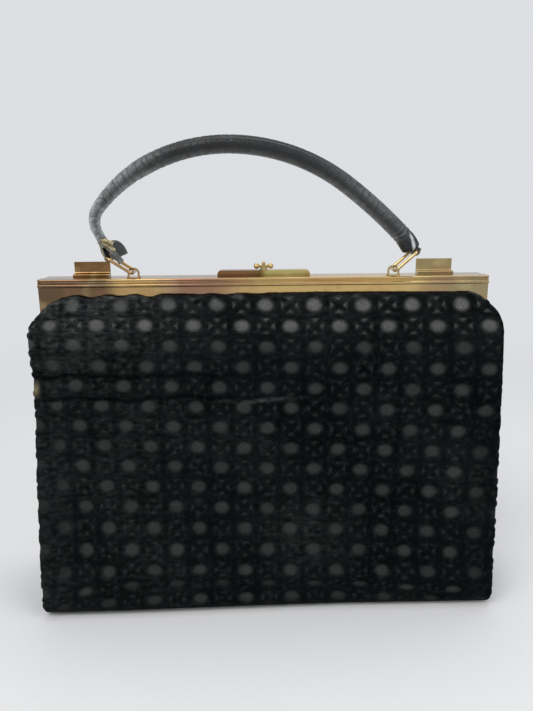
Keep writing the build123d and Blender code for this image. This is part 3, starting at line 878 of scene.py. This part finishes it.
def pull_front(c):
    """Pulls the front's edges out of line, and lets its lower part swell."""
    from_left = c.flat_x + half_width
    pinch = pinch_depth * smooth(pinch_low, crease_heights[1], c.flat_z)
    pinch *= 1 - smooth(crease_heights[0] - pinch_stop, pinch_high, c.flat_z)
    pinch += low_tuck * (1 - smooth(*low_tuck_span, c.flat_z))
    pull = corner_pull * bell(from_left, pull_reach) * bell(c.flat_z - body_height, pull_reach)
    puff = right_puff * (0.6 + 0.4 * smooth(*puff_rise, c.flat_z)) * (1 - smooth(*puff_fall, c.flat_z))
    c.x = c.x + pinch * bell(from_left, pinch_reach) + pull + puff * bell(c.flat_x - half_width, puff_reach)
    waves = noise_field(c.place, wave_size, 5)
    sag = top_sag * (1 - smooth(*sag_span, c.flat_x))
    sag += top_waves * waves * (1 - smooth(*wave_span, c.flat_x))
    c.v = c.v - sag * smooth(sag_low, body_height, c.flat_z) - pull
    c.swell = belly * (1 - smooth(*belly_across, c.flat_x)) * smooth(0.0, belly_start, c.flat_v)
    c.swell *= 1 - smooth(*belly_fall, c.flat_z)


def lay_cloth(c):
    """Lays the cloth on its wall, with relief where it doesn't face down."""
    c.spot_out = np.interp(c.v, c.length, c.out) + c.swell
    c.spot_up = np.interp(c.v, c.length, c.up)
    along_out, along_up = (np.interp(c.v, c.length, part) for part in c.along)
    c.normal_out = along_up
    c.normal_up = -along_out
    relief = c.relief * np.clip(1 + 1.02 * c.normal_up, 0, 1)
    cos = np.cos(c.turn)
    sin = np.sin(c.turn)
    out = c.spot_out - c.normal_out * c.depth + relief * (cos * c.normal_out + sin * c.nv * along_out)
    up = c.spot_up - c.normal_up * c.depth + relief * (cos * c.normal_up + sin * c.nv * along_up)
    c.points = np.stack([c.x + relief * sin * c.nx, c.side * out, up], axis=1)


def back_point(c, k):
    """Point behind point k of the cloth, less deep round the base roll."""
    depth = edge_roll + edge_tail
    share = min(1.0, c.spot_up[k] / base_roll)
    out = c.spot_out[k] - c.normal_out[k] * depth * share - back_gap
    return c.x[k], c.side * out, c.spot_up[k] - c.normal_up[k] * depth


def back_ring(index, i, j):
    """Vertices round one face of the back, with those of the cloth's border that it touches."""
    far_i = i + back_step
    far_j = j + back_step
    corners = [(i, j), (far_i, j), (far_i, far_j), (i, far_j)]
    ring = []
    for (a, b), (c, d) in zip(corners, corners[1:] + corners[:1]):
        ring.append(index[a, b])
        upright_border = a == c and a in (0, panel_columns)
        level_border = b == d and b in (0, panel_rows)
        if upright_border or level_border:
            step = (c - a + (d - b) * (panel_columns + 1)) // back_step
            ring += [index[a, b] + s * step for s in range(1, back_step)]
    return tuple(ring)


def close_back(c):
    """Points and faces of a panel, closed by a coarse grid behind it."""
    across = panel_columns + 1
    index = {}
    extra = []
    for j in range(0, panel_rows + 1, back_step):
        for i in range(0, across, back_step):
            k = j * across + i
            if i in (0, panel_columns) or j in (0, panel_rows):
                index[i, j] = k
            else:
                index[i, j] = len(c.points) + len(extra)
                extra.append(back_point(c, k))
    faces = grid_faces(panel_columns, panel_rows)
    for j in range(0, panel_rows, back_step):
        faces += [back_ring(index, i, j) for i in range(0, panel_columns, back_step)]
    return np.concatenate([c.points, np.array(extra)]), faces


def velvet_panel(name, side, worn):
    """Velvet panel with its pattern in relief, rolled edges and a plain back; side -1 is the front."""
    c = new_cloth(side, worn)
    weave(c)
    if worn:
        rub_front(c)
        fold_front(c)
        scuff_front(c)
        pull_front(c)
    lay_cloth(c)
    points, faces = close_back(c)
    piece = mesh_piece(name, points, faces)
    spare = np.zeros(len(points) - len(c.points))
    for label in ("ground", "wear", "bare", "lattice"):
        values = np.clip(getattr(c, label), 0, 1)
        add_attribute(piece, label, np.concatenate([values, spare]))
    return dress(piece, velvet)


def velvet_base():
    """Velvet base between the hems: a flat slab with softly rounded edges."""
    work = bmesh.new()
    corners = []
    for cx, cy, first in ((1, 1, 0), (-1, 1, 90), (-1, -1, 180), (1, -1, 270)):
        for step in range(base_corner_steps + 1):
            a = math.radians(first + 90 * step / base_corner_steps)
            x = cx * (base_high.x - base_corner) + base_corner * math.cos(a)
            y = cy * (base_high.y - base_corner) + base_corner * math.sin(a)
            corners.append(work.verts.new((x, y, base_gap)))
    low = work.faces.new(corners)
    raised = bmesh.ops.extrude_face_region(work, geom=[low])["geom"]
    lifted = [g for g in raised if isinstance(g, bmesh.types.BMVert)]
    bmesh.ops.translate(work, verts=lifted, vec=(0, 0, base_high.z - base_gap))
    rims = [e for e in work.edges if abs(e.verts[0].co.z - e.verts[1].co.z) < 1e-6]
    bmesh.ops.bevel(work, geom=rims, offset=base_rounding, segments=3, affect="EDGES")
    return dress(smooth_piece("velvet_base", bpy.data.meshes.new("velvet_base"), work), velvet)


# Gussets and lining
def thick_strip(name, surface, columns, rows, thickness):
    """Closed strip of cloth from a surface function of two shares, given a thickness along its normals."""
    shares = [(i / columns, j / rows) for j in range(rows + 1) for i in range(columns + 1)]
    points = np.array([surface(s, t) for s, t in shares])
    grid = points.reshape(rows + 1, columns + 1, 3)
    across = np.gradient(grid, axis=1)
    upward = np.gradient(grid, axis=0)
    normals = np.cross(across, upward)
    normals /= np.maximum(np.linalg.norm(normals, axis=2, keepdims=True), 1e-12)
    back = (grid - normals * thickness).reshape(-1, 3)
    count = len(points)
    faces = grid_faces(columns, rows)
    faces += [tuple(k + count for k in reversed(f)) for f in grid_faces(columns, rows)]
    rim = list(range(columns + 1))
    rim += [j * (columns + 1) + columns for j in range(1, rows + 1)]
    rim += [rows * (columns + 1) + i for i in range(columns - 1, -1, -1)]
    rim += [j * (columns + 1) for j in range(rows - 1, 0, -1)]
    for a, b in zip(rim, rim[1:] + rim[:1]):
        faces.append((b, a, a + count, b + count))
    return mesh_piece(name, np.concatenate([points, back]), faces)


def gusset_surface(side, low, high):
    """Surface of a side gusset between two heights: two leaves that meet in an inward fold."""
    def surface(s, t):
        z = low + (high - low) * t
        outer = np.interp(z, [gusset_low, gusset_neck], [gusset_low_outer, gusset_neck_outer])
        fold = np.interp(z, [gusset_low, gusset_neck], [gusset_low_fold, gusset_fold])
        low_reach = wall_distance(z) - panel_wall - gusset_gap
        neck_reach = wall_distance(gusset_neck) - panel_wall - gusset_gap
        high_reach = np.interp(z, [gusset_neck, gusset_shoulder], [neck_reach, gusset_jaw_reach])
        reach = low_reach if z < gusset_neck else high_reach
        lean = 2 * s - 1
        dip = (1 - abs(lean)) ** 1.3
        ripple = gusset_ripple * math.sin(55 * z + 2.5 * lean)
        return side * (outer - fold * dip + ripple - gusset_gap), reach * lean, z
    return surface


def make_gussets():
    """Both gussets: a lower part on the bag, and an upper fan that reaches to both jaws."""
    for side, word in ((-1, "left"), (1, "right")):
        surface = gusset_surface(side, gusset_low, gusset_split + gusset_overlap)
        lower = thick_strip(f"{word}_gusset_cloth", surface, *gusset_grid, cloth_thickness)
        surface = gusset_surface(side, gusset_split - gusset_overlap, gusset_top)
        upper = thick_strip(f"{word}_gusset_fan", surface, *gusset_fan_grid, cloth_thickness)
        for piece in (lower, upper):
            spots = np.array([v.co for v in piece.data.vertices])
            add_attribute(piece, "ground", pattern_tone(spots[:, 1] + gusset_pattern_shift, spots[:, 2]))
            add_attribute(piece, "wear", np.zeros(len(spots)))
            dress(piece, velvet)
        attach(lower, "bag")
        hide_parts(f"{word}_gusset")
        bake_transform(upper)


def lining_size(z):
    """Half length and half depth of the lining at a height."""
    length = np.interp(z, [lining_low, gusset_neck], [lining_low_half, lining_neck_half])
    depth = np.interp(z, [lining_low, lining_shoulder], [lining_low_reach, lining_top_reach])
    return length, depth


def lining_wall(side):
    """Front or rear wall of the lining."""
    def surface(s, t):
        z = lining_low + (lining_top - lining_low) * t
        length, depth = lining_size(z)
        slack = lining_slack * math.sin(90 * z + 30 * s) * math.sin(math.pi * t)
        return length * (2 * s - 1), side * (depth - lining_gap + slack), z
    return surface


def lining_end(side, low, high):
    """End wall of the lining between two heights."""
    def surface(s, t):
        z = low + (high - low) * t
        length, depth = lining_size(z)
        return side * (length - lining_gap), (depth - lining_seam_gap) * (2 * s - 1), z
    return surface


def lining_floor(s, t):
    """Bottom of the lining."""
    length, depth = lining_size(lining_low)
    return length * (2 * s - 1), depth * (2 * t - 1), lining_low + lining_seam_gap


def make_lining():
    """Lining: front, rear, bottom and ends, each end with a fan above the hinge."""
    front = thick_strip("lining_front", lining_wall(-1), *lining_wall_grid, lining_thickness)
    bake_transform(front)
    rear = thick_strip("lining_rear", lining_wall(1), *lining_wall_grid, -lining_thickness)
    bottom = thick_strip("lining_bottom", lining_floor, *lining_floor_grid, lining_thickness)
    ends = []
    fans = []
    for side, word in ((-1, "left"), (1, "right")):
        surface = lining_end(side, lining_low, gusset_split + lining_overlap)
        ends.append(thick_strip(f"lining_{word}_end", surface, *lining_end_grid, lining_thickness))
        surface = lining_end(side, gusset_split - lining_overlap, lining_top)
        fans.append(thick_strip(f"lining_{word}_fan", surface, *lining_fan_grid, lining_thickness))
    for piece in (rear, bottom, *ends):
        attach(piece, "bag")
    for piece in fans:
        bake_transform(piece)
    for piece in (front, rear, bottom, *ends, *fans):
        dress(piece, lining)
    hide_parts("lining")


# Handle
def handle_spot(shares):
    """Place on the handle's middle line from its shares, in X and Z."""
    return np.array([shares[0] * lug_half, swing_pivot[2] + shares[1] * handle_rise])


def tangent_arc(start, heading, end, count):
    """Points of the arc that leaves a start along a heading and meets an end, and its last heading."""
    normal = np.array([-heading[1], heading[0]])
    chord = end - start
    radius = chord @ chord / (2 * chord @ normal)
    middle = start + normal * radius
    first = math.atan2(*(start - middle)[::-1])
    turn = math.atan2(*(end - middle)[::-1]) - first
    turn = (turn + math.pi) % (2 * math.pi) - math.pi
    angles = first + np.linspace(0, turn, count)
    points = middle + abs(radius) * np.stack([np.cos(angles), np.sin(angles)], axis=1)
    spin = math.copysign(1, radius)
    return points, spin * np.array([-math.sin(angles[-1]), math.cos(angles[-1])])


def joined_arcs(start, way, ends, count):
    """Arcs from a start, sideways at first, through a row of ends."""
    heading = np.array([way, 0.0])
    arcs = []
    for end in ends:
        arc, heading = tangent_arc(start, heading, end, count)
        start = arc[-1]
        arcs.append(arc[1:])
    return np.concatenate(arcs)


def handle_line():
    """Middle line of the handle from its right end over the peak to its left end, and its radius there."""
    peak = np.array([handle_peak, swing_pivot[2] + handle_rise])
    bend = handle_radius * bend_radius_share
    right_ends = [handle_spot(right_shoulder_shares), handle_spot(right_bend_shares), np.array(right_tip)]
    left_ends = [handle_spot(shares) for shares in (left_shoulder_shares, left_bend_shares, left_end_shares)]
    right = joined_arcs(peak, 1.0, right_ends, arc_steps)[::-1]
    left = joined_arcs(peak, -1.0, left_ends, left_arc_steps)
    fall = ring_top(-1, left_ring_lean) - left[-1]
    fall *= 1 - neck_stop / np.linalg.norm(fall)
    neck = left[-1] + fall * np.linspace(0, 1, neck_steps)[1:, None]
    radii = [np.full(len(right) + left_arc_steps, handle_radius)]
    radii.append(np.linspace(handle_radius, bend, left_arc_steps)[1:])
    radii.append(np.linspace(bend, neck_radius, left_arc_steps)[1:])
    radii.append(np.linspace(neck_radius, neck_radius * neck_taper, neck_steps)[1:])
    return np.concatenate([right, [peak], left, neck]), np.concatenate(radii)


def even_line(line, radius, count):
    """The same line at even steps, with its lengths."""
    length = np.concatenate([[0], np.cumsum(np.linalg.norm(np.diff(line, axis=0), axis=1))])
    even = np.linspace(0, length[-1], count)
    spots = np.stack([np.interp(even, length, line[:, 0]), np.interp(even, length, line[:, 1])], axis=1)
    return spots, np.interp(even, length, radius), even


def band_groove(length, angle):
    """Grooves between the handle's uneven bands, 1 at their middle."""
    phase = length + sum(size * np.sin(length * pace) for size, pace in band_waves)
    lean, pace = band_slant
    phase = phase + lean * np.sin(angle * 2 + length * pace)
    return bell(np.sin(math.pi * phase / band_pitch), band_edge)


def handle_rub_and_sheen(share, angle, groove):
    """How rubbed the handle is, with its painted sheen: most at its left end, least in its grooves; the
    right part's lighter middle is painted sheen, and the underside is lightened as painted light from the
    floor.
    """
    # Wear and painted sheen at the left end and its neck.
    left_share = smooth(0.66, 0.82, share)
    neck_share = smooth(0.85, 0.93, share)
    # Painted sheen along the middle of the right part.
    right_sheen = bell(share - 0.17, 0.12)
    outer_side = np.maximum(0.0, np.cos(angle + seam_angle)) ** 2.5
    # Painted light bounced from the floor onto the underside.
    underside_light = smooth(0.30, 0.95, -np.cos(angle))
    worn = 0.90 * left_share + 0.55 * neck_share + 0.30 * right_sheen
    raised = 1 - (0.70 - 0.25 * neck_share) * groove
    return worn * (0.18 + 0.82 * outer_side + 0.45 * underside_light) * raised + 0.30 * underside_light


def handle_relief(length, total, radius, angle):
    """Height of the tube's bands, seam, split right end and wrinkles, and how rubbed it is with its painted
    sheen, including a painted highlight along the split.
    """
    share = length / total
    groove = band_groove(length, angle)
    seam = (angle - (2 * math.pi - seam_angle)) * radius
    lip = bell(seam - lip_place, lip_width)
    relief = -band_depth * groove * (band_least + (1 - band_least) * smooth(*band_span, share))
    relief += lip_height * lip - seam_depth * bell(seam, seam_width)
    near_end = 1 - smooth(*sleeve_end, length)
    split = (angle - slot_angle - slot_lean * length) * radius
    slot = np.exp(-((split / slot_width) ** 4)) * near_end
    relief += sleeve_height * near_end - slot_depth * slot
    wrinkle = bell(length - wrinkle_place, wrinkle_width)
    fold = np.sin(length * wrinkle_pace + 2.2 * np.sin(angle + 0.6) + 1.4 * np.sin(3 * angle))
    relief += wrinkle_height * wrinkle * fold
    rub = (handle_rub_and_sheen(share, angle, groove) + 0.10 * lip) * (1 - near_end)
    # A painted highlight along the split right end; the wrinkles' crests are lighter.
    return relief, rub + 3.0 * slot + 0.25 * wrinkle * np.maximum(0.0, fold)


def make_handle_tube():
    """Stuffed tube with embossed bands, a seam along its upper front, a split right end and closed ends."""
    spots, radius, length = even_line(*handle_line(), tube_rings)
    along = np.gradient(spots, axis=0)
    along /= np.linalg.norm(along, axis=1, keepdims=True)
    total = length[-1]
    closing = np.minimum(1, np.minimum(length / right_closing, (total - length) / left_closing))
    closing = np.sqrt(np.clip(1 - (1 - closing) ** 2, 0.0, 1)) * (1 - tip_share) + tip_share
    angle = 2 * math.pi * np.arange(tube_sides)[None, :] / tube_sides
    relief, rub = handle_relief(length[:, None], total, radius[:, None], angle)
    reach = (radius[:, None] + relief) * closing[:, None]
    x = spots[:, :1] + along[:, 1:] * reach * np.cos(angle)
    y = swing_pivot[1] + reach * np.sin(angle)
    z = spots[:, 1:] - along[:, :1] * reach * np.cos(angle)
    points = np.stack([x, y, z], axis=2).reshape(-1, 3)
    piece = mesh_piece("handle_tube", points, tube_faces(tube_sides, tube_rings))
    add_attribute(piece, "rub", rub.ravel())
    add_attribute(piece, "raw", np.zeros(len(points)))
    return dress(piece, leather)


def ribbon(name, path, widths, turns, shifts, raw_edge, raw_face, rub_face):
    """Leather ribbon along a path in X and Z: a rounded bar, turned about its own line, raw at its edges."""
    path = np.array(path)
    along = np.gradient(path, axis=0)
    along /= np.linalg.norm(along, axis=1, keepdims=True)
    points, raws, rubs = [], [], []
    for k, (middle, way) in enumerate(zip(path, along)):
        turned = Matrix.Rotation(turns[k], 3, Vector((way[0], 0, way[1])))
        broad = turned @ Vector((0, 1, 0))
        flat = turned @ Vector((-way[1], 0, way[0]))
        middle = Vector((middle[0], swing_pivot[1] + shifts[k], middle[1]))
        end_raw = max(0.0, 1 - (len(path) - 1 - k) / 5)
        for s in range(strap_sides):
            angle = 2 * math.pi * s / strap_sides
            c, d = math.cos(angle), math.sin(angle)
            wide = math.copysign(abs(c) ** 0.35, c) * widths[k] / 2
            deep = math.copysign(abs(d) ** 0.55, d) * strap_thickness / 2
            points.append(middle + broad * wide + flat * deep)
            edge = float(smooth(0.75, 0.95, abs(c)))
            raws.append(max(raw_face, raw_edge * max(end_raw, edge)))
            rubs.append(rub_face * (1 - edge))
    piece = mesh_piece(name, points, tube_faces(strap_sides, len(path)))
    add_attribute(piece, "raw", raws)
    add_attribute(piece, "rub", rubs)
    return dress(piece, leather)


def ring_top(side, lean):
    """Middle of a ring's upper bar, in X and Z."""
    return np.array([
        side * (lug_half + ring_length * math.sin(lean)), swing_pivot[2] + ring_length * math.cos(lean),
    ])


def curve_points(controls, count):
    """Smooth line through control points, as a Catmull-Rom curve."""
    controls = np.array([controls[0], *controls, controls[-1]], float)
    points = []
    spans = len(controls) - 3
    for step in range(count):
        t = step / (count - 1) * spans
        k = min(int(t), spans - 1)
        t -= k
        p0, p1, p2, p3 = controls[k:k + 4]
        points.append(0.5 * (2 * p1 + (p2 - p0) * t + (2 * p0 - 5 * p1 + 4 * p2 - p3) * t**2
                             + (3 * p1 - p0 - 3 * p2 + p3) * t**3))
    return points


def strap_path(bar, end, steps):
    """Path of a strap from beside the handle's end, round the ring's bar and up again."""
    outer_end, inner_end = (end + np.array(step) for step in steps)
    radius = ring_wire + strap_gap + strap_thickness / 2
    up = (outer_end + inner_end) / 2 - bar
    up /= np.linalg.norm(up)
    across = np.array([-up[1], up[0]])
    if across @ (outer_end - bar) < 0:
        across = -across
    turns = np.linspace(-strap_fold_reach, math.pi + strap_fold_reach, strap_fold_steps)
    fold = [bar + radius * (across * math.cos(a) - up * math.sin(a)) for a in turns]
    bow = (outer_end + fold[0]) / 2 + strap_bow * across
    return curve_points([outer_end, bow, *fold, inner_end], strap_steps)


def make_straps():
    """Strap folds at both ends of the handle; the left one is worn open, with raw, twisted flaps."""
    left_bar = ring_top(-1, left_ring_lean)
    right_bar = ring_top(1, right_ring_lean)
    even = np.ones(strap_steps)
    share = np.linspace(0, 1, strap_steps)
    left_path = strap_path(left_bar, handle_spot(left_end_shares), left_strap_ends)
    left_widths = strap_width - (strap_width - strap_neck) * smooth(0.45, 0.85, np.abs(2 * share - 1))
    straps = [ribbon("left_strap", left_path, left_widths, 0 * even, 0 * even, 0.6, 0.0, 0.5)]
    for name, turn, shift, width, raw_edge, raw_face, rub_face, steps in left_flaps:
        path = curve_points([left_bar + np.array(step) for step in steps], strap_steps)
        twist = turn * smooth(0.0, 0.6, share)
        straps.append(ribbon(name, path, width * even, twist, shift * even, raw_edge, raw_face, rub_face))
    right_path = strap_path(right_bar, np.array(right_tip), right_strap_ends)
    straps.append(ribbon("right_strap", right_path, strap_width * even, 0 * even, 0 * even, 0.35, 0.0, 0.2))
    return straps


def make_handle():
    """The whole handle, riding on its own body."""
    tube = make_handle_tube()
    straps = make_straps()
    for piece in [tube, *straps]:
        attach(piece, "handle")
    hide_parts("handle")


# Stage, light and camera
def make_stage():
    """Round pale floor."""
    turns = [2 * math.pi * k / floor_sides for k in range(floor_sides)]
    points = [(r * math.cos(t), r * math.sin(t), floor_height) for r in floor_rings for t in turns]
    faces = [tuple(range(floor_sides))] + grid_faces(floor_sides, len(floor_rings) - 1, closed=True)
    piece = mesh_piece("floor", points, faces)
    dress(piece, floor)


def area_light(name, place, size, power):
    """Soft rectangular lamp that looks at the bag."""
    lamp = bpy.data.lights.new(name, "AREA")
    lamp.shape = "RECTANGLE"
    lamp.size, lamp.size_y = size
    lamp.energy = power
    piece = add_object(name, lamp)
    piece.location = place
    piece.rotation_euler = (lamp_target - Vector(place)).to_track_quat("-Z", "Y").to_euler()


def make_lights():
    """Soft studio light: three broad lamps and an even surround."""
    for lamp in lamps:
        area_light(*lamp)
    world = bpy.data.worlds.new("studio")
    world.use_nodes = True
    tree = world.node_tree
    surround = tree.nodes["Background"]
    surround.inputs["Color"].default_value = (*surround_tone, 1.0)
    level = tree.nodes.new("ShaderNodeMapRange")
    level.inputs["To Min"].default_value = surround_level
    level.inputs["To Max"].default_value = backdrop_level
    tree.links.new(seen_directly(tree), level.inputs["Value"])
    tree.links.new(level.outputs["Result"], surround.inputs["Strength"])
    bpy.context.scene.world = world


def make_camera():
    """Camera at the photograph's place and angle."""
    camera = bpy.data.cameras.new("photo_camera")
    camera.sensor_fit = "VERTICAL"
    camera.sensor_height = sensor_height
    camera.lens = sensor_height * focal_pixels / image_height
    camera.clip_start = nearest_seen
    turns = ((-camera_yaw, "Z"), (math.pi / 2 - camera_pitch, "X"), (camera_roll, "Z"))
    view = Matrix.Translation(camera_place)
    for angle, axis in turns:
        view = view @ Matrix.Rotation(angle, 4, axis)
    piece = add_object("photo_camera", camera)
    piece.matrix_world = view
    bpy.context.scene.camera = piece


# Dress the bag
velvet = velvet_material()
leather = leather_material()
lining = lining_material()
card = board_material()
floor = floor_material()
frame_brass = brass_material(
    "frame_brass", frame_tones, frame_turns, wander=0.02, red_share=0.35, moulded=True,
)
fitting_brass = brass_material("fitting_brass", fitting_tones, fitting_turns, wander=0.05, red_share=0.4)
plate_brass = brass_material("plate_brass", plate_tones, plate_turns, wander=0.003, red_share=0.4)

front = velvet_panel("velvet_front", -1, True)
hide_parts("front_panel")
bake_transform(front)
rear = velvet_panel("velvet_rear", 1, False)
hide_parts("rear_panel")
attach(rear, "bag")
base = velvet_base()
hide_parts("base_panel")
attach(base, "bag")
make_gussets()
make_lining()
make_handle()

dressed = (
    (frame_brass, ("front_jaw", "rear_jaw", "left_hinge_pin", "right_hinge_pin", "frame_rivets")),
    (frame_brass, ("clasp_keeper", "clasp_hook")),
    (fitting_brass, ("clasp_knob", "left_handle_lug", "right_handle_lug", "left_ring", "right_ring")),
    (plate_brass, ("clasp_plate", "left_tab", "right_tab")),
    (card, ("front_board", "rear_board", "base_board")),
)
for material, names in dressed:
    for name in names:
        dress(nodes[name], material)

make_stage()
make_lights()
make_camera()
bpy.context.scene.view_settings.view_transform = "Standard"
